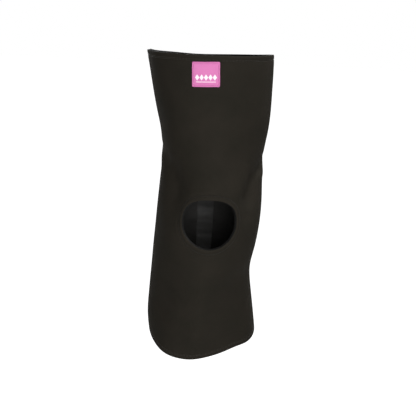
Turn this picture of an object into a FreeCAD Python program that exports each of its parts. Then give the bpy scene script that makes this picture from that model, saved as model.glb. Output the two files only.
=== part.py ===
import FreeCAD, Part
import os

# Pull-on knee sleeve of foam rubber between two layers of knitted jersey, open over the kneecap.
# Millimetres. +Z is up the leg, -Y is the front of the knee and +X is to the right seen from the front.
# The origin is the centre of the knee joint, on the axis that the calf half bends about.
# The sleeve has the shape of a leg bent a little: the thigh is upright and the shin leans back.
# It is one tube. It is divided into a thigh, a knee and a calf section, and the calf section bends
# about the X axis while the knee section, which is soft, follows both.

doc = FreeCAD.newDocument("KneeSleeve")
sheet = doc.addObject("Spreadsheet::Sheet", "Sizes")

SIZES = {
    # layers of the wall, from the outside in
    "jersey": 0.6,
    "foam": 2.8,
    "tape": 0.5,
    "thread": 0.6,
    "label_cloth": 0.8,
    # opening over the kneecap
    "hole_width": 54,
    "hole_height": 49.5,
    "hole_across": 1.5,
    "hole_up": 7,
    "hole_front": -95,
    "hole_depth": 60,
    "edge_stitch_inset": 3.2,
    "edge_stitch_width": 1.6,
    # hems: the straight bands at both ends
    "top_hem": 20,
    "bottom_hem": 15,
    "hem_stitch_inset": 4,
    "hem_stitch_width": 1.6,
    # seam down the back
    "seam_across": -3,
    "seam_width": 5,
    "tape_width": 18,
    "seam_reach": 125,
    "top_seam_end": 7,
    "bottom_seam_end": 7,
    "top_tape_end": 21,
    "bottom_tape_end": 18,
    # woven label on the front of the thigh
    "label_width": 27.5,
    "label_height": 25.5,
    "label_across": -7,
    "label_up": 156.5,
    "label_stitch_inset": 1.4,
    "label_stitch_width": 0.7,
    "label_reach": 60,
    # from the section that bends to the one that doesn't
    "bend_gap": 0.3,
}

# Cross-sections of the outside, each an ellipse: how far up it is, how far it leans back round the
# knee joint, where its middle is across and front to back, its width and its depth.
SECTIONS = {
    "thigh_top": (156, 0, -1.2, -6, 124.4, 124.4),
    "thigh_middle": (112, 0, 1.6, -8, 115, 120),
    "thigh_waist": (77, 0, 2.4, -9, 103.4, 117.5),
    "thigh_end": (58, 0, 1.6, -10, 103.6, 117),
    "knee_upper": (20, 5, 0.2, -11, 106, 117),
    "knee_lower": (-20, 12, -2.8, -9.5, 105, 114),
    "calf_start": (-58, 17.5, -5.6, -8, 102.2, 111),
    "calf_middle": (-86, 18.5, -5.1, -7, 107.2, 112),
    "calf_bottom": (-108.5, 23, -4, -15, 111, 111),
}
SECTION_WORDS = ("up", "lean", "across", "back", "width", "depth")


def fill_sheet():
    """Every driving dimension goes into the sheet under its own name."""
    values = dict(SIZES)
    for section, numbers in SECTIONS.items():
        for word, number in zip(SECTION_WORDS, numbers):
            values[section + "_" + word] = number
    for row, (name, value) in enumerate(values.items(), start=1):
        sheet.set("A%d" % row, name)
        sheet.set("B%d" % row, str(value))
        sheet.setAlias("B%d" % row, name)
    doc.recompute()


def made(kind, name, **properties):
    """An object whose named properties follow the sheet."""
    item = doc.addObject(kind, name)
    for word, expression in properties.items():
        item.setExpression(word, expression)
    return item


def cell(name):
    return "Sizes." + name


# How deep each boundary between layers lies below the outside.
LEVELS = {
    "label": "-Sizes.label_cloth - Sizes.thread",
    "label_face": "-Sizes.label_cloth",
    "thread": "-Sizes.thread",
    "outside": "0",
    "foam_out": "Sizes.jersey",
    "foam_in": "Sizes.jersey + Sizes.foam",
    "inside": "2 * Sizes.jersey + Sizes.foam",
    "tape": "2 * Sizes.jersey + Sizes.foam + Sizes.tape",
}


def middle_of(section, up=None):
    """Expression of a section's placement: leaning back round the knee joint, then out to its middle."""
    place = "placement(vector(0; 0; 0); rotationx(Sizes.%s_lean))" % section
    place += " * placement(vector(Sizes.%s_across; Sizes.%s_back; " % (section, section)
    place += (up or "Sizes.%s_up" % section) + "); rotationz(90))"
    return place


def ring(section, level, up=None):
    """The outline of one cross-section at one level of the wall; its seam is at the back."""
    item = made(
        "Part::Ellipse",
        section + "_" + level,
        MajorRadius="Sizes.%s_depth / 2 - (%s)" % (section, LEVELS[level]),
        MinorRadius="Sizes.%s_width / 2 - (%s)" % (section, LEVELS[level]),
    )
    item.setExpression("Placement", middle_of(section, up))
    return item


def lofted(name, rings):
    item = doc.addObject("Part::Loft", name)
    item.Sections = rings
    item.Solid = True
    return item


def cut(name, base, tool):
    item = doc.addObject("Part::Cut", name)
    item.Base = base
    item.Tool = tool
    return item


def common(name, base, tool):
    item = doc.addObject("Part::Common", name)
    item.Base = base
    item.Tool = tool
    return item


def hem_form(section, level, height, direction):
    """The straight band beyond an end section: up from the thigh, down from the calf."""
    item = made(
        "Part::Cylinder",
        section + "_band_" + level,
        Radius="Sizes.%s_width / 2 - (%s)" % (section, LEVELS[level]),
        Height=height,
    )
    place = middle_of(section)
    if direction < 0:
        place += " * placement(vector(0; 0; -(%s)); rotationz(0))" % height
    item.setExpression("Placement", place)
    return item


def thigh_form(level):
    names = ("thigh_end", "thigh_waist", "thigh_middle", "thigh_top")
    body = lofted("thigh_loft_" + level, [ring(n, level) for n in names])
    item = doc.addObject("Part::Fuse", "thigh_form_" + level)
    item.Base = body
    item.Tool = hem_form("thigh_top", level, cell("top_hem"), 1)
    return item


def knee_form(level):
    rings = [ring(n, level) for n in ("thigh_end", "knee_upper", "knee_lower")]
    rings.append(ring("calf_start", level, "Sizes.calf_start_up + Sizes.bend_gap"))
    return lofted("knee_form_" + level, rings)


def calf_form(level):
    names = ("calf_start", "calf_middle", "calf_bottom")
    body = lofted("calf_loft_" + level, [ring(n, level) for n in names])
    item = doc.addObject("Part::Fuse", "calf_form_" + level)
    item.Base = body
    item.Tool = hem_form("calf_bottom", level, cell("bottom_hem"), -1)
    return item


FORMS = {"thigh": thigh_form, "knee": knee_form, "calf": calf_form}


def shell(name, part, outer, inner):
    """The wall of one section between two levels."""
    return cut(name, FORMS[part](outer), FORMS[part](inner))


def upright_box(name, width, depth, height, corner):
    """A box whose lowest corner is given as three expressions."""
    item = made("Part::Box", name, Length=width, Width=depth, Height=height)
    for word, expression in zip("xyz", corner):
        item.setExpression("Placement.Base." + word, expression)
    return item


def hole_prism(name, extra):
    """The kneecap opening's outline, grown by extra, run through the front wall."""
    outline = made(
        "Part::Ellipse",
        name + "_outline",
        MajorRadius="Sizes.hole_width / 2 + " + extra,
        MinorRadius="Sizes.hole_height / 2 + " + extra,
    )
    place = "placement(vector(Sizes.hole_across; Sizes.hole_front; Sizes.hole_up); rotationx(-90))"
    outline.setExpression("Placement", place)
    prism = made("Part::Extrusion", name, LengthFwd=cell("hole_depth"))
    prism.Base = outline
    prism.DirMode = "Custom"
    prism.Dir = FreeCAD.Vector(0, 1, 0)
    prism.Solid = True
    return prism


def wall_layers():
    """Outer jersey, foam rubber and inner jersey of each section, with the kneecap opening cut."""
    nodes = []
    layers = {
        "outer_jersey": ("outside", "foam_out"),
        "foam": ("foam_out", "foam_in"),
        "inner_jersey": ("foam_in", "inside"),
    }
    for part in FORMS:
        for layer, (outer, inner) in layers.items():
            name = part + "_" + layer
            if part == "knee":
                whole = shell(name + "_whole", part, outer, inner)
                nodes.append(cut(name, whole, hole_prism(name + "_hole", "0")))
            else:
                nodes.append(shell(name, part, outer, inner))
    return nodes


def back_slab(name, section, width, low, high):
    """The space behind the leg's middle where a strip lies, from low to high of a section's plane."""
    item = made(
        "Part::Box",
        name,
        Length=width,
        Width=cell("seam_reach"),
        Height="%s - (%s)" % (high, low),
    )
    place = "placement(vector(0; 0; 0); rotationx(Sizes.%s_lean))" % section
    place += " * placement(vector(Sizes.seam_across - %s / 2; 0; " % width
    place += "Sizes.%s_up + %s); rotationz(0))" % (section, low)
    item.setExpression("Placement", place)
    return item


def back_seam():
    """Stitching outside and tape inside, down the back of all three sections."""
    nodes = []
    reach = cell("seam_reach")
    strips = {
        "back_seam_stitching": ("thread", "outside", cell("seam_width"), "seam_end"),
        "seam_tape": ("inside", "tape", cell("tape_width"), "tape_end"),
    }
    for strip, (outer, inner, width, end) in strips.items():
        spans = {
            "thigh": ("thigh_top", "-" + reach, "(Sizes.top_hem - Sizes.top_%s)" % end),
            "knee": ("knee_upper", "-" + reach, reach),
            "calf": ("calf_bottom", "(Sizes.bottom_%s - Sizes.bottom_hem)" % end, reach),
        }
        for part, (section, low, high) in spans.items():
            name = part + "_" + strip
            slab = back_slab(name + "_slab", section, width, low, high)
            nodes.append(common(name, shell(name + "_skin", part, outer, inner), slab))
    return nodes


def hem_stitching(name, section, hem, direction):
    """A band of stitching round the sleeve, just inside the hem's free edge."""
    start = "Sizes.%s - Sizes.hem_stitch_inset - Sizes.hem_stitch_width" % hem
    if direction < 0:
        start = "-(Sizes.%s - Sizes.hem_stitch_inset)" % hem
    place = middle_of(section) + " * placement(vector(0; 0; %s); rotationz(0))" % start
    bands = []
    for level in ("thread", "outside"):
        band = made(
            "Part::Cylinder",
            name + "_" + level,
            Radius="Sizes.%s_width / 2 - (%s)" % (section, LEVELS[level]),
            Height=cell("hem_stitch_width"),
        )
        band.setExpression("Placement", place)
        bands.append(band)
    return cut(name, bands[0], bands[1])


def kneecap_stitching():
    """A band of stitching round the kneecap opening."""
    near = "Sizes.edge_stitch_inset"
    far = near + " + Sizes.edge_stitch_width"
    band = cut("kneecap_band", hole_prism("kneecap_band_far", far), hole_prism("kneecap_band_near", near))
    return common("kneecap_edge_stitching", shell("kneecap_skin", "knee", "thread", "outside"), band)


def label_box(name, inset):
    width = "Sizes.label_width - 2 * (%s)" % inset
    height = "Sizes.label_height - 2 * (%s)" % inset
    corner = (
        "Sizes.label_across - (%s) / 2" % width,
        "-Sizes.label_reach - Sizes.thigh_top_width / 4",
        "Sizes.label_up - (%s) / 2" % height,
    )
    return upright_box(name, width, cell("label_reach"), height, corner)


def label():
    """A square of woven cloth and the row of stitches that holds it, both following the thigh."""
    skin = shell("label_skin", "thigh", "label_face", "outside")
    cloth = common("label", skin, label_box("label_shape", "0"))
    outer = label_box("label_stitch_outer", "Sizes.label_stitch_inset")
    inner = label_box("label_stitch_inner", "Sizes.label_stitch_inset + Sizes.label_stitch_width")
    frame = cut("label_stitch_frame", outer, inner)
    thread = shell("label_stitch_skin", "thigh", "label", "label_face")
    return [cloth, common("label_stitching", thread, frame)]


def check(nodes):
    """Stop if anything failed to build."""
    for item in doc.Objects:
        if {"Invalid", "Error"} & set(item.State):
            raise RuntimeError(item.Name + " failed to build")
    for node in nodes:
        if node.Shape.isNull() or not node.Shape.isValid() or node.Shape.Volume <= 0:
            raise RuntimeError(node.Name + " is not a valid solid")


def main():
    fill_sheet()
    nodes = wall_layers() + back_seam() + label()
    nodes.append(hem_stitching("top_hem_stitching", "thigh_top", "top_hem", 1))
    nodes.append(hem_stitching("bottom_hem_stitching", "calf_bottom", "bottom_hem", -1))
    nodes.append(kneecap_stitching())
    doc.recompute()
    check(nodes)
    os.makedirs("parts", exist_ok=True)
    for node in nodes:
        node.Label = node.Name
        node.Shape.exportStep("parts/" + node.Label + ".step")
        print(node.Label, len(node.Shape.Solids), round(node.Shape.Volume))


main()
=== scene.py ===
import math

import bpy
import numpy as np
from mathutils import Matrix, Vector


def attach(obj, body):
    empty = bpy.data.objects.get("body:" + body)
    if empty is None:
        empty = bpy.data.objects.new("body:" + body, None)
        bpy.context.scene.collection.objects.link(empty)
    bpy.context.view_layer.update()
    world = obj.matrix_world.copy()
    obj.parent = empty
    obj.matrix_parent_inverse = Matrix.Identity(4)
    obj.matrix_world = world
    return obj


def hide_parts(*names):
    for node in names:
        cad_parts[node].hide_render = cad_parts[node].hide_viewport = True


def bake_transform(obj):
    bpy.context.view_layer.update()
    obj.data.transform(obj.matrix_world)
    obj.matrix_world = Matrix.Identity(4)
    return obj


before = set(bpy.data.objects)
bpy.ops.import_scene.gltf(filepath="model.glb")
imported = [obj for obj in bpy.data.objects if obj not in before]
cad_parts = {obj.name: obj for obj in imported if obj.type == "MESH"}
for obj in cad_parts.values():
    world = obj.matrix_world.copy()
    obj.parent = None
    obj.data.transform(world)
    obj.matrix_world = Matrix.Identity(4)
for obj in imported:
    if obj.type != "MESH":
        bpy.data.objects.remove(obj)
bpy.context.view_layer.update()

# A pull-on knee sleeve: foam rubber between two jersey layers, with stitched edges, a seam down
# the back and a woven label, in the shape that a leg gives it.
# Lengths are millimetres until add_mesh turns them into metres. a is the angle round the leg in
# radians, 0 in front and growing to the right; up is the height along the leg from the knee joint.
MM = 0.001
THIGH, CALF = "thigh_section", "calf_section"

# ---------------------------------------------------------------- the leg's shape

# Cross-sections from the top edge to the bottom edge: height, how many degrees each leans back round
# the knee joint, and how far the outside reaches from the joint's middle to the left, right, front
# and back.
PROFILE_WORDS = ("lean", "left", "right", "front", "back")
PROFILE = (
    (176, 0, 69.0, 60.8, 68.4, 56.4),
    (158, 0, 65.2, 61.1, 68.0, 55.8),
    (138, 0, 60.9, 60.7, 67.6, 54.0),
    (114, 0, 55.6, 59.8, 67.6, 51.6),
    (96, 0, 51.5, 57.9, 67.4, 50.2),
    (82, 0, 50.0, 55.6, 67.4, 49.6),
    (68, 0, 49.4, 54.4, 68.0, 48.8),
    (46, 1.5, 51.2, 54.2, 70.2, 47.4),
    (22, 4.5, 52.6, 54.4, 71.8, 47.2),
    (0, 8.5, 53.5, 53.2, 69.6, 47.4),
    (-20, 12, 55.0, 50.4, 66.6, 47.8),
    (-42, 15.5, 56.9, 46.4, 64.2, 48.0),
    (-60, 17.5, 58.3, 46.9, 62.6, 47.8),
    (-86, 18.5, 59.4, 50.8, 62.0, 48.8),
    (-108, 22.6, 59.6, 53.9, 68.6, 41.0),
    (-124, 23, 58.2, 55.5, 70.4, 40.4),
)
TOP, BOTTOM = PROFILE[0][0], PROFILE[-1][0]

# Below SHIN_TOP the shin's edge moves over to the left, by SHIN_SHIFT at the bottom edge.
SHIN_TOP, SHIN_SHIFT = -40, 12

# How far the two hems rise round the leg: middle and reach in degrees, height. Both fade out
# towards the knee, at these heights.
TOP_HEM_FROM, BOTTOM_HEM_FROM = 110, -60
TOP_HEM = ((-90, 24, 1.5), (90, 40, 1.2), (180, 75, -3.2), (-168, 26, -1.0))
BOTTOM_HEM = ((-20, 38, -2.4), (49, 13, 2.2))

# Hollows and swellings in the leg: lines of (degrees round the leg, up, depth, reach). A negative
# depth swells. The left of each pair comes first.
HOLLOWS = (
    # from the crease at each side of the thigh, down beside the tendon to the kneecap
    (
        (-98, 84, 0.3, 5), (-84, 77, 1.4, 6), (-66, 68, 3.2, 10),
        (-52, 57, 5.2, 15), (-43, 42, 6.4, 17), (-41, 27, 3.6, 14),
    ),
    (
        (98, 77, 0.3, 5), (84, 69, 1.5, 6), (69, 61, 3.2, 10),
        (57, 51, 5.4, 12), (51, 38, 6.4, 13), (50, 24, 3.4, 12),
    ),
    # the soft side of the left one
    ((-72, 58, 0.8, 18), (-63, 40, 2.6, 20), (-60, 24, 1.2, 18)),
    # the folds that the two creases push up
    ((-102, 72, -0.5, 6), (-82, 66, -0.9, 7)),
    ((66, 48, -0.8, 4), (74, 54, -2.0, 4.5), (90, 60, -0.4, 6)),
    # the tendon above the kneecap
    ((-10, 60, -0.4, 15), (1, 44, -2.2, 18), (3, 36, -1.9, 17)),
    # the shin's edge, and the flat face at either side of it
    ((4, -34, -0.6, 10), (4, -62, -2.5, 11), (3, -90, -2.8, 11), (2, -112, -1.8, 12), (2, -130, -0.8, 14)),
    ((-44, -25, 2.0, 20), (-44, -50, 4.4, 24), (-46, -80, 4.6, 24), (-50, -108, 3.0, 22), (-50, -130, 0.8, 18)),
    ((44, -25, 2.2, 20), (44, -50, 4.6, 24), (40, -80, 5.0, 25), (38, -108, 3.8, 23), (36, -130, 1.4, 20)),
    # creases behind the knee, and the soft folds between them
    ((128, 44, 0.0, 4), (154, 37, 1.2, 4), (180, 34, 1.6, 4.5), (206, 37, 1.2, 4), (231, 45, 0.0, 4)),
    ((122, 11, 0.0, 4), (150, 15, 1.6, 4.5), (178, 13, 2.1, 5), (206, 16, 1.4, 4.5), (233, 12, 0.0, 4)),
    ((127, -15, 0.0, 4), (152, -9, 1.5, 4.5), (183, -7, 2.0, 5), (210, -10, 1.4, 4.5), (236, -17, 0.0, 4)),
    ((134, -35, 0.0, 4), (160, -30, 1.0, 4), (187, -28, 1.4, 4.5), (212, -31, 0.9, 4), (232, -38, 0.0, 4)),
    ((140, 25, 0.0, 7), (165, 25, -0.8, 8), (195, 25, -0.8, 8), (222, 26, 0.0, 7)),
    ((140, 3, 0.0, 7), (165, 3, -0.9, 8), (195, 4, -0.9, 8), (222, 3, 0.0, 7)),
    ((140, -19, 0.0, 7), (165, -19, -0.7, 8), (195, -18, -0.7, 8), (222, -20, 0.0, 7)),
)
MERGE = 5  # how sharply the stretches of one line merge

# ---------------------------------------------------------------- how it is made

WALL = 4.0
JERSEY = 0.6
FOAM_GAP = 0.02  # between the foam and either jersey
FOAM_DRAW_IN = 0.12  # how far the foam stays back from the free edges

HEM_ROWS = (4.2, 5.5)  # twin rows of stitches, from a hem's edge
EDGE_STITCH = (3.2, 4.8)  # zigzag round the kneecap opening, from its edge
SEAM_ACROSS = -3.0
SEAM_HALF = 2.3  # half the width of the flat seam's stitching
SEAM_END = 7.0
TAPE_WIDTH = 18.0
TAPE_ENDS = (21.0, 18.0)  # how far the tape stays from the top and the bottom edge
TAPE = 0.5
TAPE_GAP = 0.02  # between the tape and the inner jersey
NO_EDGE = 30.0  # stands for the distance from an edge, where none is near

# Opening over the kneecap: an egg, blunt end up.
EGG_MIDDLE = (1.6, 11.0)
EGG_HALF_WIDTH = 28.2
EGG_ABOVE, EGG_BELOW = 22.3, 29.2
EGG_POWER_ABOVE, EGG_POWER_BELOW = 2.5, 2.0  # 2 is an ellipse, more is squarer
EGG_TURN = 1.0  # degrees anticlockwise, seen from the front

LABEL_MIDDLE = (-7.1, 157.2)
LABEL_SIZE = (27.4, 24.8)
LABEL_TURN = 2.0  # degrees anticlockwise, seen from the front
LABEL_CLOTH = 0.8
LABEL_STITCH = 1.6  # from the label's edge

HEM_YARN, FINE_YARN, LABEL_YARN = 0.24, 0.2, 0.17  # the threads' radii
LOOPER_OUT = 0.12  # how far the looper thread stands off the inside
ZIGZAG = 1.5  # one zig and zag, along the kneecap opening's edge
SEAM_STEP = 0.95  # between the threads that cross the back seam
LABEL_STITCH_LENGTH = 2.1

# Radii that turn distances on the cloth into angles: round the kneecap opening, at the back seam,
# and inside the back seam.
OPENING_RADIUS, SEAM_RADIUS, TAPE_RADIUS = 55.0, 56.0, 52.0

# The mesh is closer near edges and seams, at these distances from them.
COLUMNS = 192  # round the leg
ROW = 2.2  # between rows along the leg
HEM_LINES = (0, 0.35, 0.75, 1.2, 1.7, 2.3, 2.9, 3.4, 3.9, 4.5, 5.2, 5.8, 6.4, 7.2, 8.4, 10)
SEAM_LINES = (0, 0.35, 0.8, 1.3, 1.9, 2.5, 3.2, 4.2, 5.6)
OPENING_LINES = (0, 0.35, 0.8, 1.3, 1.9, 2.5, 3.1, 3.6, 4.1, 4.8, 5.8, 7.2, 9.0)
TAPE_LINES = (0, 0.3, 0.8, 1.4)
LABEL_LINES = (0, 0.25, 0.6, 1.0, 1.35, 1.6, 1.85, 2.3, 2.8, 3.3, 3.9)
PATCH_MARGIN = 12.0  # degrees and millimetres of the grid that the opening's rings take up


def spline(knots, values):
    """A smooth curve through a few points, as a function. Its second derivative is continuous."""
    order = np.argsort(knots)
    x = np.asarray(knots, float)[order]
    y = np.asarray(values, float)[order]
    h = np.diff(x)
    matrix = np.zeros((len(x), len(x)))
    right = np.zeros(len(x))
    matrix[0, 0] = matrix[-1, -1] = 1
    for i in range(1, len(x) - 1):
        matrix[i, i - 1 : i + 2] = h[i - 1], 2 * (h[i - 1] + h[i]), h[i]
        right[i] = 6 * ((y[i + 1] - y[i]) / h[i] - (y[i] - y[i - 1]) / h[i - 1])
    bend = np.linalg.solve(matrix, right)

    def curve(t):
        t = np.asarray(t, float)
        i = np.clip(np.searchsorted(x, t) - 1, 0, len(h) - 1)
        a, b = x[i + 1] - t, t - x[i]
        cubic = (bend[i] * a**3 + bend[i + 1] * b**3) / (6 * h[i])
        start, end = y[i] / h[i] - bend[i] * h[i] / 6, y[i + 1] / h[i] - bend[i + 1] * h[i] / 6
        return cubic + start * a + end * b

    return curve


HEIGHTS, *REACHES = zip(*PROFILE)
CURVES = {word: spline(HEIGHTS, values) for word, values in zip(PROFILE_WORDS, REACHES)}


def bump(distance, reach):
    """1 at no distance, falling smoothly to nothing at about twice the reach."""
    return np.exp(-((distance / reach) ** 2))


def ease(t):
    """A smooth step from 0 to 1."""
    t = np.clip(t, 0, 1)
    return t * t * (3 - 2 * t)


def turned(a, middle):
    """Angle from middle, in degrees, between -180 and 180."""
    return (np.degrees(a) - middle + 180) % 360 - 180


def rotated(x, y, degrees):
    """A point turned anticlockwise round the middle."""
    turn = math.radians(degrees)
    return x * math.cos(turn) - y * math.sin(turn), x * math.sin(turn) + y * math.cos(turn)


def hollow(a, up, line):
    """Depth of a hollow that follows a line of points."""
    middle = sum(p[0] for p in line) / len(line)
    x = turned(a, middle) + middle
    total = 0.0
    for p, q in zip(line, line[1:]):
        dx, dy = q[0] - p[0], q[1] - p[1]
        t = np.clip(((x - p[0]) * dx + (up - p[1]) * dy) / (dx * dx + dy * dy), 0, 1)
        away = np.hypot(x - p[0] - t * dx, up - p[1] - t * dy)
        depth = abs(p[2] + (q[2] - p[2]) * t)
        total = total + (depth * bump(away, p[3] + (q[3] - p[3]) * t)) ** MERGE
    return total ** (1 / MERGE) * math.copysign(1, sum(p[2] for p in line))


def seam_angle(up):
    """Where the seam runs down the back."""
    left, right = CURVES["left"](up), CURVES["right"](up)
    return math.pi - np.arcsin((SEAM_ACROSS - (right - left) / 2) / ((right + left) / 2))


def from_seam(a, up):
    """Distance round the leg from the seam."""
    radius = (CURVES["left"](up) + CURVES["right"](up)) / 2
    return np.radians(turned(a, np.degrees(seam_angle(up)))) * radius


def relief(a, up):
    """How far the wall stands out from the plain tube."""
    out = -sum(hollow(a, up, line) for line in HOLLOWS)
    # the stretched cloth is never quite even
    return out + 0.35 * np.sin(3 * a + up / 31) * np.cos(up / 23 + 1.3) + 0.22 * np.sin(7 * a - up / 17)


def seam_relief(a, up):
    """How far the outer face stands out at the seam: a ridge, the groove in it, and nips at both rows."""
    away = from_seam(a, up)
    return 0.25 * bump(away, 5) - 0.5 * bump(away, 0.55) - 0.22 * bump(abs(away) - SEAM_HALF, 0.7)


def rise(a, part):
    """How far one part of a hem's line lifts it."""
    middle, reach, height = part
    return height * bump(turned(a, middle), reach)


def tube(a, up):
    """The sleeve's outside before relief, in millimetres."""
    value = {word: curve(up) for word, curve in CURVES.items()}
    across = (value["right"] - value["left"]) / 2 + (value["right"] + value["left"]) / 2 * np.sin(a)
    depth = (value["back"] - value["front"]) / 2 - (value["back"] + value["front"]) / 2 * np.cos(a)
    shin = SHIN_SHIFT * np.clip((SHIN_TOP - up) / (SHIN_TOP - BOTTOM), 0, 1) ** 1.5
    across = across - shin * np.clip(np.cos(a), 0, 1) ** 2
    for part in BOTTOM_HEM:
        up = up + rise(a, part) * ease((BOTTOM_HEM_FROM - up) / (BOTTOM_HEM_FROM - BOTTOM))
    up = up + sum(rise(a, part) for part in TOP_HEM) * ease((up - TOP_HEM_FROM) / (TOP - TOP_HEM_FROM))
    lean = np.radians(value["lean"])
    y = depth * np.cos(lean) - up * np.sin(lean)
    z = depth * np.sin(lean) + up * np.cos(lean)
    return np.stack([across, y, z], axis=-1)


def unit(v):
    return v / np.linalg.norm(v, axis=-1, keepdims=True)


def normal(surface, a, up):
    turn, climb = 0.01, 0.3
    along_a = surface(a + turn, up) - surface(a - turn, up)
    along_up = surface(a, up + climb) - surface(a, up - climb)
    return unit(np.cross(along_a, along_up))


def outside(a, up):
    return tube(a, up) + relief(a, up)[..., None] * normal(tube, a, up)


def thickness(edge):
    """Share of the full thickness at a distance from a free edge: stitching nips the wall in."""
    row = sum(HEM_ROWS) / 2
    return 1 - 0.18 * bump(edge, 0.9) - 0.18 * bump(edge - row, 1.3)


def layer_point(a, up, depth, edge):
    """A point at a depth below the outside. edge is its distance from the nearest free edge."""
    a, up, depth, edge = np.broadcast_arrays(*(np.asarray(v, float) for v in (a, up, depth, edge)))
    mid = WALL / 2
    sunk = mid + (depth - mid) * thickness(edge) - seam_relief(a, up) * np.clip(1 - depth / WALL, 0, 1)
    return outside(a, up) - sunk[..., None] * normal(outside, a, up)


# ---------------------------------------------------------------- the grid round the leg


def rows():
    """Heights of the rows, and each one's distance from the nearer hem."""
    near = np.array(HEM_LINES)
    count = round((TOP - BOTTOM - 2 * near[-1]) / ROW)
    middle = np.linspace(TOP - near[-1], BOTTOM + near[-1], count + 1)[1:-1]
    up = np.concatenate([TOP - near, middle, BOTTOM + near[::-1]])
    return up, np.minimum(TOP - up, up - BOTTOM)


def columns():
    """Angles of the columns, from the seam at the back once round the leg."""
    near = np.array(SEAM_LINES) / SEAM_RADIUS
    rest = np.linspace(near[-1], 2 * math.pi - near[-1], COLUMNS - 2 * len(near) + 3)[1:-1]
    return np.concatenate([near, rest, 2 * math.pi - near[:0:-1]]) - math.pi


def egg(angle):
    """The kneecap opening's outline in front view: a point on it for each angle."""
    c, s = np.cos(angle), np.sin(angle)
    power = np.where(s > 0, 2 / EGG_POWER_ABOVE, 2 / EGG_POWER_BELOW)
    height = np.where(s > 0, EGG_ABOVE, EGG_BELOW)
    x = EGG_HALF_WIDTH * np.sign(c) * np.abs(c) ** power
    z = height * np.sign(s) * np.abs(s) ** power
    x, z = rotated(x, z, EGG_TURN)
    return EGG_MIDDLE[0] + x, EGG_MIDDLE[1] + z


def seen_in_front(x, z):
    """(a, up) of the outside's points that a front view shows at x and z, by Newton's method."""
    a, up = x / OPENING_RADIUS, z
    step = 1e-3
    for _ in range(12):
        here = tube(a, up)[..., [0, 2]]
        by_a = (tube(a + step, up)[..., [0, 2]] - here) / step
        by_up = (tube(a, up + step)[..., [0, 2]] - here) / step
        miss = np.stack([x, z], -1) - here
        det = by_a[..., 0] * by_up[..., 1] - by_a[..., 1] * by_up[..., 0]
        a = a + (miss[..., 0] * by_up[..., 1] - miss[..., 1] * by_up[..., 0]) / det
        up = up + (by_a[..., 0] * miss[..., 1] - by_a[..., 1] * miss[..., 0]) / det
    return a, up


def egg_outline(count):
    """(a, up) of points along the kneecap opening's edge."""
    return seen_in_front(*egg(np.linspace(0, 2 * math.pi, count + 1)[:-1]))


def opening_line(outward):
    """(a, up) along a closed line at a distance outward from the opening's edge, and its length so far."""
    a, up = egg_outline(1440)
    turn = np.roll(a, -1) - np.roll(a, 1)
    climb = (np.roll(up, -1) - np.roll(up, 1)) / OPENING_RADIUS
    along = unit(np.stack([turn, climb], -1))
    a, up = a + along[:, 1] * outward / OPENING_RADIUS, up - along[:, 0] * outward
    points = outside(a, up)
    steps = np.linalg.norm(np.roll(points, -1, axis=0) - points, axis=1)
    return np.append(a, a[0]), np.append(up, up[0]), np.concatenate([[0], np.cumsum(steps)])


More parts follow.
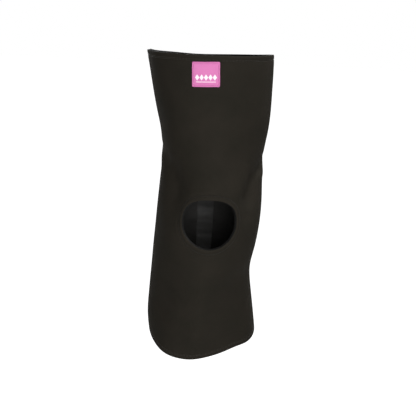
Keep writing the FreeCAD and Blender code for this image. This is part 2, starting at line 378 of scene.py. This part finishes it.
class Grid:
    """Vertices and faces of the tube wall with the kneecap opening, in (a, up) and edge distance."""

    def __init__(self):
        self.up_rows, row_edge = rows()
        angles = columns()
        self.outline = egg_outline(720)
        a_line, up_line = self.outline
        reach = np.radians(PATCH_MARGIN)
        near = np.flatnonzero((angles > a_line.min() - reach) & (angles < a_line.max() + reach))
        low, high = up_line.min() - PATCH_MARGIN, up_line.max() + PATCH_MARGIN
        lines = np.flatnonzero((self.up_rows < high) & (self.up_rows > low))
        self.patch = (near[0], near[-1], lines[0], lines[-1])
        a = np.tile(angles, (len(self.up_rows), 1))
        up = np.tile(self.up_rows[:, None], (1, COLUMNS))
        # the columns at the back follow the seam
        shift = np.radians(turned(seam_angle(up), 180)) * bump(np.abs(a) - math.pi, 0.8)
        edge = np.tile(row_edge[:, None], (1, COLUMNS))
        self.a, self.up, self.edge = (a + shift).ravel(), up.ravel(), edge.ravel()
        self.faces = []
        self.rims = []
        self.tube_faces()
        self.opening_faces()
        self.drop_unused()

    def tube_faces(self):
        left, right, first, last = self.patch
        for r in range(len(self.up_rows) - 1):
            for c in range(COLUMNS):
                if left <= c < right and first <= r < last:
                    continue
                d = (c + 1) % COLUMNS
                here, below = r * COLUMNS, (r + 1) * COLUMNS
                self.faces.append((here + c, here + d, below + d, below + c))
        self.rims.append(list(range(COLUMNS)))
        bottom = (len(self.up_rows) - 1) * COLUMNS
        self.rims.append([bottom + c for c in reversed(range(COLUMNS))])

    def opening_faces(self):
        """Rings from the patch's outer border in to the opening's outline."""
        left, right, first, last = self.patch
        border = [first * COLUMNS + c for c in range(left, right)]
        border += [r * COLUMNS + right for r in range(first, last)]
        border += [last * COLUMNS + c for c in range(right, left, -1)]
        border += [r * COLUMNS + left for r in range(last, first, -1)]
        a_line, up_line = self.outline
        middle = (a_line.mean(), up_line.mean())
        out_angle = np.arctan2(self.up[border] - middle[1], (self.a[border] - middle[0]) * OPENING_RADIUS)
        line_angle = np.unwrap(np.arctan2(up_line - middle[1], (a_line - middle[0]) * OPENING_RADIUS))
        wanted = (out_angle - line_angle[0]) % (2 * math.pi) + line_angle[0]
        period = np.append(line_angle, line_angle[0] + 2 * math.pi)
        hole_a = np.interp(wanted, period, np.append(a_line, a_line[0]))
        hole_up = np.interp(wanted, period, np.append(up_line, up_line[0]))
        gap = np.hypot((self.a[border] - hole_a) * OPENING_RADIUS, self.up[border] - hole_up)
        rings = [border]
        for distance in reversed(OPENING_LINES):
            share = np.clip(distance / gap, 0, 0.93)  # the last ring stays clear of the border
            start = len(self.a)
            self.a = np.append(self.a, hole_a + (self.a[border] - hole_a) * share)
            self.up = np.append(self.up, hole_up + (self.up[border] - hole_up) * share)
            self.edge = np.append(self.edge, np.full(len(border), distance))
            rings.append(list(range(start, start + len(border))))
        for outer, inner in zip(rings, rings[1:]):
            for k in range(len(border)):
                n = (k + 1) % len(border)
                self.faces.append((outer[k], outer[n], inner[n], inner[k]))
        self.rims.append(rings[-1][::-1])

    def drop_unused(self):
        """Leaves out the grid's vertices inside the patch."""
        used = np.unique(np.array([i for f in self.faces for i in f]))
        new = np.full(len(self.a), -1)
        new[used] = np.arange(len(used))
        self.a, self.up, self.edge = self.a[used], self.up[used], self.edge[used]
        self.faces = [tuple(int(new[i]) for i in f) for f in self.faces]
        self.rims = [[int(new[i]) for i in rim] for rim in self.rims]


GRID = Grid()

# ---------------------------------------------------------------- building meshes


def add_mesh(name, points, faces, uvs=None, wear=None, smooth=True):
    """A mesh object from points in millimetres. uvs gives each vertex's place on the cloth."""
    mesh = bpy.data.meshes.new(name)
    mesh.from_pydata((np.asarray(points) * MM).tolist(), [], faces)
    mesh.update()
    if uvs is not None:
        layer = mesh.uv_layers.new(name="cloth")
        corner = np.empty(len(mesh.loops), int)
        mesh.loops.foreach_get("vertex_index", corner)
        layer.data.foreach_set("uv", np.asarray(uvs, float)[corner].ravel())
    if wear is not None:
        mesh.attributes.new("edge_wear", "FLOAT", "POINT").data.foreach_set("value", np.asarray(wear, float))
    mesh.polygons.foreach_set("use_smooth", [smooth] * len(mesh.polygons))
    item = bpy.data.objects.new(name, mesh)
    bpy.context.scene.collection.objects.link(item)
    return item


def band(rim, offset):
    """Faces between a closed line of vertices and its copy, whose indices are offset higher."""
    return [(v, w, w + offset, v + offset) for v, w in zip(rim, rim[1:] + rim[:1])]


def wall_layer(name, outer, inner, draw_in=0.0):
    """One layer of the laminate, closed all round, between two depths."""
    g = GRID
    skins = [layer_point(g.a, g.up, depth, g.edge) for depth in (outer, inner)]
    if draw_in:
        for points in skins:
            pull_back(points, draw_in)
    count = len(g.a)
    faces = [f[::-1] for f in g.faces]
    faces += [tuple(i + count for i in f) for f in g.faces]
    for rim in g.rims:
        faces += band(rim, count)
    uvs = np.tile(np.stack([g.a * SEAM_RADIUS, g.up], axis=-1), (2, 1))
    wear = np.tile(bump(g.edge, 1.6), 2)
    return add_mesh(name, np.concatenate(skins), faces, uvs, wear)


def pull_back(points, distance):
    """Moves the rims away from the free edges, so that the layer ends inside its neighbours."""
    follow = {}
    for face in GRID.faces:
        for x, y in zip(face, face[1:] + face[:1]):
            follow.setdefault(x, set()).add(y)
            follow.setdefault(y, set()).add(x)
    for rim in GRID.rims:
        on_rim = set(rim)
        for v in rim:
            nearest = [w for w in follow[v] if w not in on_rim]
            points[v] = points[v] + unit(points[nearest].mean(axis=0) - points[v]) * distance


def thread_mesh(name, paths, out, radius, closed=False):
    """Round threads: paths and the surface normals along them are (thread, point, 3) arrays."""
    sides = 6
    turn = np.linspace(0, 2 * math.pi, sides + 1)[:-1]
    if closed:
        along = unit(np.roll(paths, -1, axis=1) - np.roll(paths, 1, axis=1))
    else:
        along = unit(np.gradient(paths, axis=1))
    side = unit(np.cross(along, out))
    top = np.cross(side, along)
    ring = side[:, :, None] * np.cos(turn)[:, None] + top[:, :, None] * np.sin(turn)[:, None]
    points = (paths[:, :, None] + ring * radius).reshape(-1, 3)
    threads, count = paths.shape[:2]
    steps = np.linalg.norm(np.diff(paths, axis=1), axis=2)
    length = np.concatenate([np.zeros((threads, 1)), np.cumsum(steps, axis=1)], axis=1)
    uvs = np.stack([np.repeat(length.ravel(), sides), np.tile(turn * radius, threads * count)], -1)
    one = []
    for i in range(count if closed else count - 1):
        j = (i + 1) % count
        for k in range(sides):
            n = (k + 1) % sides
            one.append((i * sides + k, i * sides + n, j * sides + n, j * sides + k))
    if not closed:
        one += [tuple(range(sides))[::-1], tuple((count - 1) * sides + k for k in range(sides))]
    starts = range(0, threads * count * sides, count * sides)
    faces = [tuple(start + v for v in face) for start in starts for face in one]
    return add_mesh(name, points, faces, uvs)


def sheet_mesh(name, place, inner_place, across, along):
    """A thin closed sheet from two functions of grid coordinates."""
    x, y = (v.ravel() for v in np.meshgrid(across, along))
    n, m = len(across), len(along)
    corners = [r * n + c for r in range(m - 1) for c in range(n - 1)]
    quads = [(v, v + 1, v + n + 1, v + n) for v in corners]
    rim = [*range(n), *(r * n + n - 1 for r in range(1, m))]
    rim += [*((m - 1) * n + c for c in range(n - 2, -1, -1)), *(r * n for r in range(m - 2, 0, -1))]
    faces = quads + [tuple(i + n * m for i in q[::-1]) for q in quads]
    faces += [(w, v, v_in, w_in) for v, w, w_in, v_in in band(rim, n * m)]
    uvs = np.tile(np.stack([x, y], -1), (2, 1))
    return add_mesh(name, np.concatenate([place(x, y), inner_place(x, y)]), faces, uvs)


def sheet_lines(size, near, count):
    """Places of the grid lines across a sheet, closer together near its two edges."""
    near = np.array(near)
    half = size / 2
    middle = np.linspace(near[-1] - half, half - near[-1], count)[1:-1]
    return np.concatenate([near - half, middle, (half - near)[::-1]])


def one_object(items):
    """Several objects joined into the first."""
    with bpy.context.temp_override(active_object=items[0], selected_editable_objects=items):
        bpy.ops.object.join()
    return items[0]


# ---------------------------------------------------------------- layers

outer_jersey = wall_layer("outer_jersey", 0.0, JERSEY)
foam_core = wall_layer("foam_core", JERSEY + FOAM_GAP, WALL - JERSEY - FOAM_GAP, draw_in=FOAM_DRAW_IN)
inner_jersey = wall_layer("inner_jersey", WALL - JERSEY, WALL)

# ---------------------------------------------------------------- stitching


def stitch_paths(a, up, edge, height):
    """Short threads over the outside, as thread_mesh takes them."""
    return layer_point(a, up, -height, edge), normal(outside, a, up)


def running_stitches(a, up, edge, length, gap, lift=0.1, sunk=0.5):
    """Stitches one after another along a line on the cloth, their ends diving into it."""
    line = outside(a, up)
    far = np.concatenate([[0], np.cumsum(np.linalg.norm(np.diff(line, axis=0), axis=1))])
    count = int(far[-1] // (length + gap))
    pitch = far[-1] / count
    t = np.array([0, 0.12, 0.3, 0.5, 0.7, 0.88, 1.0])
    at = np.arange(count)[:, None] * pitch + t * (pitch - gap)
    height = np.broadcast_to([-sunk, -0.05, lift, lift + 0.02, lift, -0.05, -sunk], at.shape)
    here = [np.interp(at, far, np.broadcast_to(v, far.shape)) for v in (a, up, edge)]
    return stitch_paths(*here, height)


def joined(*groups):
    """Several tuples of arrays as one."""
    return [np.concatenate(parts) for parts in zip(*groups)]


def add_hem_stitches(name, end, direction):
    """Twin rows outside and the looper thread that joins them inside."""
    a = np.linspace(-math.pi, math.pi, 721)
    groups = [running_stitches(a, end - direction * row, row, length=2.9, gap=0.5) for row in HEM_ROWS]
    rows_outside = thread_mesh(name, *joined(*groups), HEM_YARN)
    a = np.linspace(-math.pi, math.pi, 1041)[:-1]
    swing = np.interp(np.arange(len(a)) % 4, [0, 1, 2, 3], [0, 0.5, 1, 0.5])
    row = HEM_ROWS[0] + (HEM_ROWS[1] - HEM_ROWS[0]) * swing
    up = end - direction * row
    path = layer_point(a, up, WALL + LOOPER_OUT, row)
    out = -normal(outside, a, up)
    looper = thread_mesh(name + "_looper", path[None], out[None], FINE_YARN, closed=True)
    return one_object([rows_outside, looper])


def add_kneecap_stitches():
    """A zigzag round the opening over the kneecap."""
    inner, outer = opening_line(EDGE_STITCH[0]), opening_line(EDGE_STITCH[1])
    count = 2 * round(inner[2][-1] / ZIGZAG)
    step = np.linspace(0, 1, 6)
    t = (np.arange(count)[:, None] + step) / count
    share = np.where(np.arange(count)[:, None] % 2 == 0, step, 1 - step)
    one, two = ([np.interp(t * line[2][-1], line[2], v) for v in line[:2]] for line in (inner, outer))
    a, up = (p + (q - p) * share for p, q in zip(one, two))
    edge = EDGE_STITCH[0] + (EDGE_STITCH[1] - EDGE_STITCH[0]) * share
    height = np.broadcast_to([-0.4, -0.02, 0.1, 0.1, -0.02, -0.4], t.shape)
    return thread_mesh("kneecap_edge_stitches", *stitch_paths(a, up, edge, height), FINE_YARN)


def add_seam_stitches():
    """A flat seam: two needle rows with threads crossing between them."""
    low, high = BOTTOM + SEAM_END, TOP - SEAM_END
    up = np.linspace(high, low, 400)
    groups = []
    for side in (-SEAM_HALF, SEAM_HALF):
        a = seam_angle(up) + side / SEAM_RADIUS
        groups.append(running_stitches(a, up, NO_EDGE, length=2.0, gap=0.35, lift=0.22))
    count = round((high - low) / SEAM_STEP)
    k, step = np.arange(count)[:, None], np.linspace(0, 1, 7)
    up = high - (k + step) * (high - low) / count
    side = (step * 2 - 1) * np.where(k % 2 == 0, 1, -1)
    a = seam_angle(up) + side * (SEAM_HALF - 0.1) / SEAM_RADIUS
    height = np.broadcast_to([-0.35, 0.08, 0.2, 0.3, 0.2, 0.08, -0.35], up.shape)
    groups.append(stitch_paths(a, up, NO_EDGE, height))
    return thread_mesh("back_seam_stitches", *joined(*groups), FINE_YARN)


top_hem_stitches = add_hem_stitches("top_hem_stitches", TOP, 1)
bottom_hem_stitches = add_hem_stitches("bottom_hem_stitches", BOTTOM, -1)
kneecap_edge_stitches = add_kneecap_stitches()
back_seam_stitches = add_seam_stitches()

# ---------------------------------------------------------------- seam tape inside


def tape_place(depth):
    """The tape's face at a depth below the inside, thinner at its two edges."""

    def place(x, up):
        edge = TAPE_WIDTH / 2 - np.abs(x)
        sunk = WALL + depth * (1 - 0.75 * bump(edge, 0.5))
        return layer_point(seam_angle(up) + x / TAPE_RADIUS, up, sunk, NO_EDGE)

    return place


def add_seam_tape():
    across = sheet_lines(TAPE_WIDTH, TAPE_LINES, 17)
    along = np.linspace(BOTTOM + TAPE_ENDS[1], TOP - TAPE_ENDS[0], 120)
    return sheet_mesh("inner_seam_tape", tape_place(TAPE), tape_place(TAPE_GAP), across, along)


seam_tape = add_seam_tape()

# ---------------------------------------------------------------- woven label


def label_height(x, y):
    """How far the label stands off the jersey: its folded border is thicker, and the stitching nips it."""
    edge = np.minimum(LABEL_SIZE[0] / 2 - np.abs(x), LABEL_SIZE[1] / 2 - np.abs(y))
    border = LABEL_CLOTH - 0.22 * ease((edge - 2.6) / 0.8)
    rounded = 1 - 0.7 * bump(edge, 0.35)
    return border * rounded - 0.28 * bump(edge - LABEL_STITCH, 0.45)


def on_label(x, y):
    """(a, up) of a point on the label, which is sewn on a little askew."""
    x, y = rotated(x, y, LABEL_TURN)
    return seen_in_front(LABEL_MIDDLE[0] + x, LABEL_MIDDLE[1] + y)


def label_place(height):
    """The label's face at a height over the jersey, as a function of x and y."""

    def place(x, y):
        # the corners are turned in a little rounder than square
        corner = np.clip((np.abs(x) * 2 / LABEL_SIZE[0]) * (np.abs(y) * 2 / LABEL_SIZE[1]), 0, 1) ** 14
        a, up = on_label(x * (1 - 0.022 * corner), y * (1 - 0.024 * corner))
        return outside(a, up) + height(x, y)[:, None] * normal(outside, a, up)

    return place


def add_label():
    grid = [sheet_lines(size, LABEL_LINES, 16) for size in LABEL_SIZE]
    underside = label_place(lambda x, y: 0 * x)
    return sheet_mesh("woven_label", label_place(label_height), underside, *grid)


def add_label_stitches():
    w, h = LABEL_SIZE[0] / 2 - LABEL_STITCH, LABEL_SIZE[1] / 2 - LABEL_STITCH
    corners = [(-w, h), (w, h), (w, -h), (-w, -h), (-w, h)]
    sides = []
    for (x0, y0), (x1, y1) in zip(corners, corners[1:]):
        count = round(math.hypot(x1 - x0, y1 - y0) / LABEL_STITCH_LENGTH)
        t = (np.arange(count)[:, None] + np.array([0.04, 0.14, 0.3, 0.5, 0.7, 0.86, 0.96])) / count
        sides.append((x0 + (x1 - x0) * t, y0 + (y1 - y0) * t))
    x, y = joined(*sides)
    a, up = on_label(x, y)
    height = label_height(x, y) + np.array([-0.35, -0.05, 0.1, 0.12, 0.1, -0.05, -0.35])
    out = normal(outside, a, up)
    return thread_mesh("label_stitches", outside(a, up) + height[..., None] * out, out, LABEL_YARN)


woven_label = add_label()
label_stitches = add_label_stitches()

# ---------------------------------------------------------------- materials


class Shading:
    """A material and short ways to add its nodes."""

    def __init__(self, name, roughness, specular):
        self.material = bpy.data.materials.new(name)
        self.material.use_nodes = True
        self.tree = self.material.node_tree
        self.shader = self.tree.nodes["Principled BSDF"]
        self.shader.inputs["Specular IOR Level"].default_value = specular
        self.shader.inputs["Roughness"].default_value = roughness

    def node(self, kind, **values):
        node = self.tree.nodes.new(kind)
        for name, value in values.items():
            setattr(node, name, value)
        return node

    def put(self, socket, value):
        """Links a node's output to a socket, or sets the socket to a plain value."""
        if isinstance(value, bpy.types.NodeSocket):
            self.tree.links.new(value, socket)
        else:
            socket.default_value = value

    def math(self, operation, *values):
        node = self.node("ShaderNodeMath", operation=operation)
        for socket, value in zip(node.inputs, values):
            self.put(socket, value)
        return node.outputs[0]

    def wave(self, x, length):
        """Half a sine from 0 to 1 and back, again and again along x."""
        cycle = self.math("FRACT", self.math("DIVIDE", x, length))
        return self.math("SINE", self.math("MULTIPLY", cycle, math.pi))

    def cloth(self):
        """Across and along the flat cloth, in millimetres."""
        split = self.node("ShaderNodeSeparateXYZ")
        self.tree.links.new(self.node("ShaderNodeUVMap", uv_map="cloth").outputs[0], split.inputs[0])
        return split.outputs[0], split.outputs[1]

    def noise(self, scale, detail=2.0):
        """Soft noise in the object's own space; scale is features per metre."""
        node = self.node("ShaderNodeTexNoise")
        node.inputs["Scale"].default_value = scale
        node.inputs["Detail"].default_value = detail
        self.tree.links.new(self.node("ShaderNodeTexCoord").outputs["Object"], node.inputs["Vector"])
        return node.outputs["Fac"]

    def between(self, share, low, high):
        """Two numbers mixed by a share from 0 to 1."""
        node = self.node("ShaderNodeMapRange")
        self.put(node.inputs["Value"], share)
        node.inputs["To Min"].default_value = low
        node.inputs["To Max"].default_value = high
        return node.outputs[0]

    def mixed(self, share, one, two):
        """Two colours mixed by a share from 0 to 1. Each is three numbers or a node's output."""
        node = self.node("ShaderNodeMix", data_type="RGBA")
        self.put(node.inputs[0], share)
        for socket, colour in ((node.inputs[6], one), (node.inputs[7], two)):
            self.put(socket, (*colour, 1) if isinstance(colour, tuple) else colour)
        return node.outputs[2]

    def colour(self, value):
        self.put(self.shader.inputs["Base Color"], value)

    def roughness(self, value):
        self.put(self.shader.inputs["Roughness"], value)

    def bumps(self, height, distance, strength=1.0):
        """height from 0 to 1 becomes relief of a distance in millimetres."""
        node = self.node("ShaderNodeBump")
        node.inputs["Distance"].default_value = distance * MM
        node.inputs["Strength"].default_value = strength
        self.put(node.inputs["Height"], height)
        self.tree.links.new(node.outputs[0], self.shader.inputs["Normal"])


def knit(shading, wale, course):
    """Height of plain knitted jersey: columns of small V-shaped loops."""
    x, y = shading.cloth()
    m = shading.math
    side = m("ABSOLUTE", m("SUBTRACT", m("FRACT", m("DIVIDE", x, wale)), 0.5))
    row = m("FRACT", m("ADD", m("DIVIDE", y, course), m("MULTIPLY", side, 1.1)))
    loop = m("SINE", m("MULTIPLY", row, math.pi))
    leg = shading.wave(side, 0.5)
    return m("MULTIPLY", m("POWER", loop, 0.7), m("ADD", m("MULTIPLY", leg, 0.6), 0.4))


def jersey_material(name, dark, light, specular):
    """Matte knit, a little cloudy, darker between the loops and faded along the edges."""
    s = Shading(name, 0.8, specular)
    m = s.math
    loops = knit(s, wale=0.78, course=0.62)
    cloudy = s.noise(38, 3)
    fibres = s.noise(2600, 1)
    share = m("MULTIPLY_ADD", m("SUBTRACT", cloudy, 0.5), 1.6, 0.5)
    share = m("ADD", share, m("MULTIPLY", m("SUBTRACT", fibres, 0.5), 0.5))
    tone = s.mixed(m("MINIMUM", m("MAXIMUM", share, 0.0), 1.0), dark, light)
    gaps = tuple(c * 0.55 for c in dark)
    tone = s.mixed(s.between(loops, 0.45, 1.0), gaps, tone)
    worn = s.node("ShaderNodeAttribute", attribute_name="edge_wear").outputs["Fac"]
    faded = tuple(c * 1.7 for c in light)
    s.colour(s.mixed(m("MULTIPLY", worn, 0.07), tone, faded))
    s.roughness(s.between(cloudy, 0.72, 0.88))
    s.bumps(m("ADD", loops, m("MULTIPLY", fibres, 0.3)), 0.11, 0.8)
    return s.material


def foam_material():
    """Foam rubber with fine closed cells."""
    s = Shading("foam_rubber", 0.85, 0.03)
    cells = s.node("ShaderNodeTexVoronoi")
    cells.inputs["Scale"].default_value = 3200
    s.tree.links.new(s.node("ShaderNodeTexCoord").outputs["Object"], cells.inputs["Vector"])
    s.colour(s.mixed(cells.outputs["Distance"], (0.006, 0.006, 0.006), (0.016, 0.016, 0.0155)))
    s.roughness(s.between(cells.outputs["Distance"], 0.7, 0.95))
    s.bumps(cells.outputs["Distance"], 0.12)
    return s.material


def tape_material():
    """Bonded tape of fine ribbed tricot."""
    s = Shading("seam_tape", 0.6, 0.1)
    x, _ = s.cloth()
    rib = s.wave(x, 0.9)
    cloth = s.mixed(s.noise(60), (0.015, 0.0148, 0.0142), (0.021, 0.0205, 0.0197))
    s.colour(s.mixed(rib, (0.008, 0.008, 0.0078), cloth))
    s.roughness(s.between(rib, 0.75, 0.5))
    s.bumps(rib, 0.09)
    return s.material


def thread_material(name, dark, light):
    """Twisted yarn."""
    s = Shading(name, 0.6, 0.06)
    m = s.math
    along, around = s.cloth()
    twist = m("FRACT", m("ADD", m("DIVIDE", along, 0.55), m("MULTIPLY", around, 0.9)))
    strand = m("SINE", m("MULTIPLY", twist, math.pi))
    s.colour(s.mixed(strand, dark, light))
    s.roughness(s.between(strand, 0.75, 0.5))
    s.bumps(strand, 0.05)
    return s.material


LOZENGES, LOZENGE_PITCH = 5, 4.3
LOZENGE_HALF = (2.05, 3.0)  # half the width and half the height
LOZENGE_DOWN = 3.0  # below the label's middle
RULE_HALF = (9.6, 0.3)
RULE_DOWN = 7.4


def label_motif(s, x, y):
    """1 on a row of lozenges and on a thin rule under it, 0 elsewhere."""
    m = s.math
    cell = m("ABSOLUTE", m("SUBTRACT", m("FRACT", m("ADD", m("DIVIDE", x, LOZENGE_PITCH), 0.5)), 0.5))
    side = m("DIVIDE", m("MULTIPLY", cell, LOZENGE_PITCH), LOZENGE_HALF[0])
    high = m("DIVIDE", m("ABSOLUTE", m("ADD", y, LOZENGE_DOWN)), LOZENGE_HALF[1])
    in_row = m("LESS_THAN", m("ABSOLUTE", x), LOZENGES / 2 * LOZENGE_PITCH)
    lozenge = m("MULTIPLY", m("LESS_THAN", m("ADD", side, high), 1.0), in_row)
    rule_high = m("LESS_THAN", m("ABSOLUTE", m("ADD", y, RULE_DOWN)), RULE_HALF[1])
    rule = m("MULTIPLY", rule_high, m("LESS_THAN", m("ABSOLUTE", x), RULE_HALF[0]))
    return m("MAXIMUM", lozenge, rule)


def label_material():
    """Pink woven satin with a plain white motif."""
    s = Shading("label_weave", 0.55, 0.3)
    m = s.math
    x, y = s.cloth()
    warp = s.wave(x, 0.34)
    slanted = m("ADD", m("DIVIDE", y, 0.42), m("DIVIDE", x, 1.36))
    weft = m("SINE", m("MULTIPLY", m("FRACT", slanted), math.pi))
    weave = m("MULTIPLY", warp, m("ADD", m("MULTIPLY", weft, 0.6), 0.4))
    white = label_motif(s, x, y)
    pink = s.mixed(s.noise(90), (0.58, 0.160, 0.385), (0.64, 0.186, 0.435))
    pink = s.mixed(weave, (0.47, 0.112, 0.30), pink)
    s.colour(s.mixed(m("MULTIPLY", white, 0.92), pink, (0.80, 0.74, 0.77)))
    s.roughness(s.between(weave, 0.7, 0.45))
    s.bumps(m("ADD", weave, m("MULTIPLY", white, 0.6)), 0.07, 0.8)
    return s.material


outer_knit = jersey_material("outer_knit", (0.0160, 0.0147, 0.0114), (0.0232, 0.0198, 0.0158), 0.015)
inner_knit = jersey_material("inner_knit", (0.0125, 0.0122, 0.0116), (0.019, 0.0185, 0.0175), 0.02)
thread = thread_material("dark_thread", (0.008, 0.0074, 0.0062), (0.021, 0.0193, 0.0164))
hem_thread = thread_material("hem_thread", (0.013, 0.0120, 0.0102), (0.033, 0.0303, 0.0257))
label_thread = thread_material("label_thread", (0.30, 0.08, 0.19), (0.50, 0.16, 0.33))

# ---------------------------------------------------------------- what each piece stands for


def in_sections(layer):
    """The CAD nodes of a layer that runs the whole length of the sleeve."""
    return [section + "_" + layer for section in ("thigh", "knee", "calf")]


# piece, material, the record's slot, the CAD nodes it stands for, and the body it rides on, or None
# for the pieces that run the whole length and ride on no body
PIECES = (
    (outer_jersey, outer_knit, "outer_jersey", in_sections("outer_jersey"), None),
    (foam_core, foam_material(), "foam", in_sections("foam"), None),
    (inner_jersey, inner_knit, "inner_jersey", in_sections("inner_jersey"), None),
    (back_seam_stitches, thread, "thread", in_sections("back_seam_stitching"), None),
    (seam_tape, tape_material(), "seam_tape", in_sections("seam_tape"), None),
    (kneecap_edge_stitches, thread, "thread", ["kneecap_edge_stitching"], None),
    (top_hem_stitches, hem_thread, "thread", ["top_hem_stitching"], THIGH),
    (bottom_hem_stitches, hem_thread, "thread", ["bottom_hem_stitching"], CALF),
    (woven_label, label_material(), "label", ["label"], THIGH),
    (label_stitches, label_thread, "label_thread", ["label_stitching"], THIGH),
)
for piece, material, slot, nodes, body in PIECES:
    piece.data.materials.append(material)
    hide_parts(*nodes)
    if body:
        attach(piece, body)
    else:
        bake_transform(piece)

# ---------------------------------------------------------------- camera, floor and light, in metres

TARGET = Vector((0, 0, 0.015))
DISTANCE = 1.5
ELEVATION = 8.5
ROLL = 2.3
LENS = 124.8
FLOOR_Z, FLOOR_RADIUS = -1.3, 30
ROOM_LIGHT = 0.21

# name, place, size, power
LIGHTS = (
    ("key", (0.26, -2.03, 0.05), 0.9, 51),
    ("top", (0.6, 0.35, 2.2), 0.4, 80),
    ("right_rim", (1.2, 1.5, 1.0), 0.8, 8),
    ("left_rim", (-1.3, 1.8, 0.3), 0.8, 15),
    ("back", (-0.3, 2.1, 0.5), 1.0, 24),
)


def add_camera():
    e, r = math.radians(ELEVATION), math.radians(ROLL)
    forward = Vector((0, math.cos(e), -math.sin(e)))
    side = Vector((1, 0, 0))
    up = side.cross(forward)
    image_right = side * math.cos(r) + up * math.sin(r)
    image_up = up * math.cos(r) - side * math.sin(r)
    data = bpy.data.cameras.new("camera")
    data.lens = LENS
    data.sensor_width = 36
    data.clip_end = 60
    camera = bpy.data.objects.new("camera", data)
    turn = Matrix((image_right, image_up, -forward)).transposed()
    camera.matrix_world = Matrix.Translation(TARGET - forward * DISTANCE) @ turn.to_4x4()
    bpy.context.scene.collection.objects.link(camera)
    bpy.context.scene.camera = camera


def add_light(name, place, size, power):
    """A round soft light that points at the knee."""
    data = bpy.data.lights.new(name, "AREA")
    data.shape = "DISK"
    data.size = size
    data.energy = power
    light = bpy.data.objects.new(name, data)
    light.location = place
    light.rotation_euler = (-Vector(place)).to_track_quat("-Z", "Y").to_euler()
    bpy.context.scene.collection.objects.link(light)


def add_floor():
    """A pale round floor, so far below that the camera sees none of its edge."""
    ring = np.linspace(0, 2 * math.pi, 97)[:-1]
    radius = FLOOR_RADIUS / MM
    points = [(radius * math.cos(t), radius * math.sin(t), FLOOR_Z / MM) for t in ring]
    floor = add_mesh("floor", points, [tuple(range(len(ring)))], smooth=False)
    s = Shading("pale_floor", 0.8, 0.1)
    s.colour(s.mixed(s.noise(3), (0.88, 0.88, 0.88), (0.92, 0.92, 0.92)))
    s.shader.inputs["Emission Color"].default_value = (1, 1, 1, 1)
    s.shader.inputs["Emission Strength"].default_value = 0.95
    floor.data.materials.append(s.material)
    floor.visible_diffuse = False


def add_world():
    """White behind everything, and a dimmer white as the light of the room."""
    world = bpy.data.worlds.new("studio")
    world.use_nodes = True
    tree = world.node_tree
    tree.nodes["Background"].inputs["Color"].default_value = (1, 1, 1, 1)
    seen = tree.nodes.new("ShaderNodeLightPath")
    strength = tree.nodes.new("ShaderNodeMapRange")
    strength.inputs["To Min"].default_value = ROOM_LIGHT
    strength.inputs["To Max"].default_value = 1.0
    tree.links.new(seen.outputs["Is Camera Ray"], strength.inputs["Value"])
    tree.links.new(strength.outputs[0], tree.nodes["Background"].inputs["Strength"])
    bpy.context.scene.world = world


add_camera()
add_floor()
add_world()
for light in LIGHTS:
    add_light(*light)

bpy.context.scene.view_settings.view_transform = "Standard"
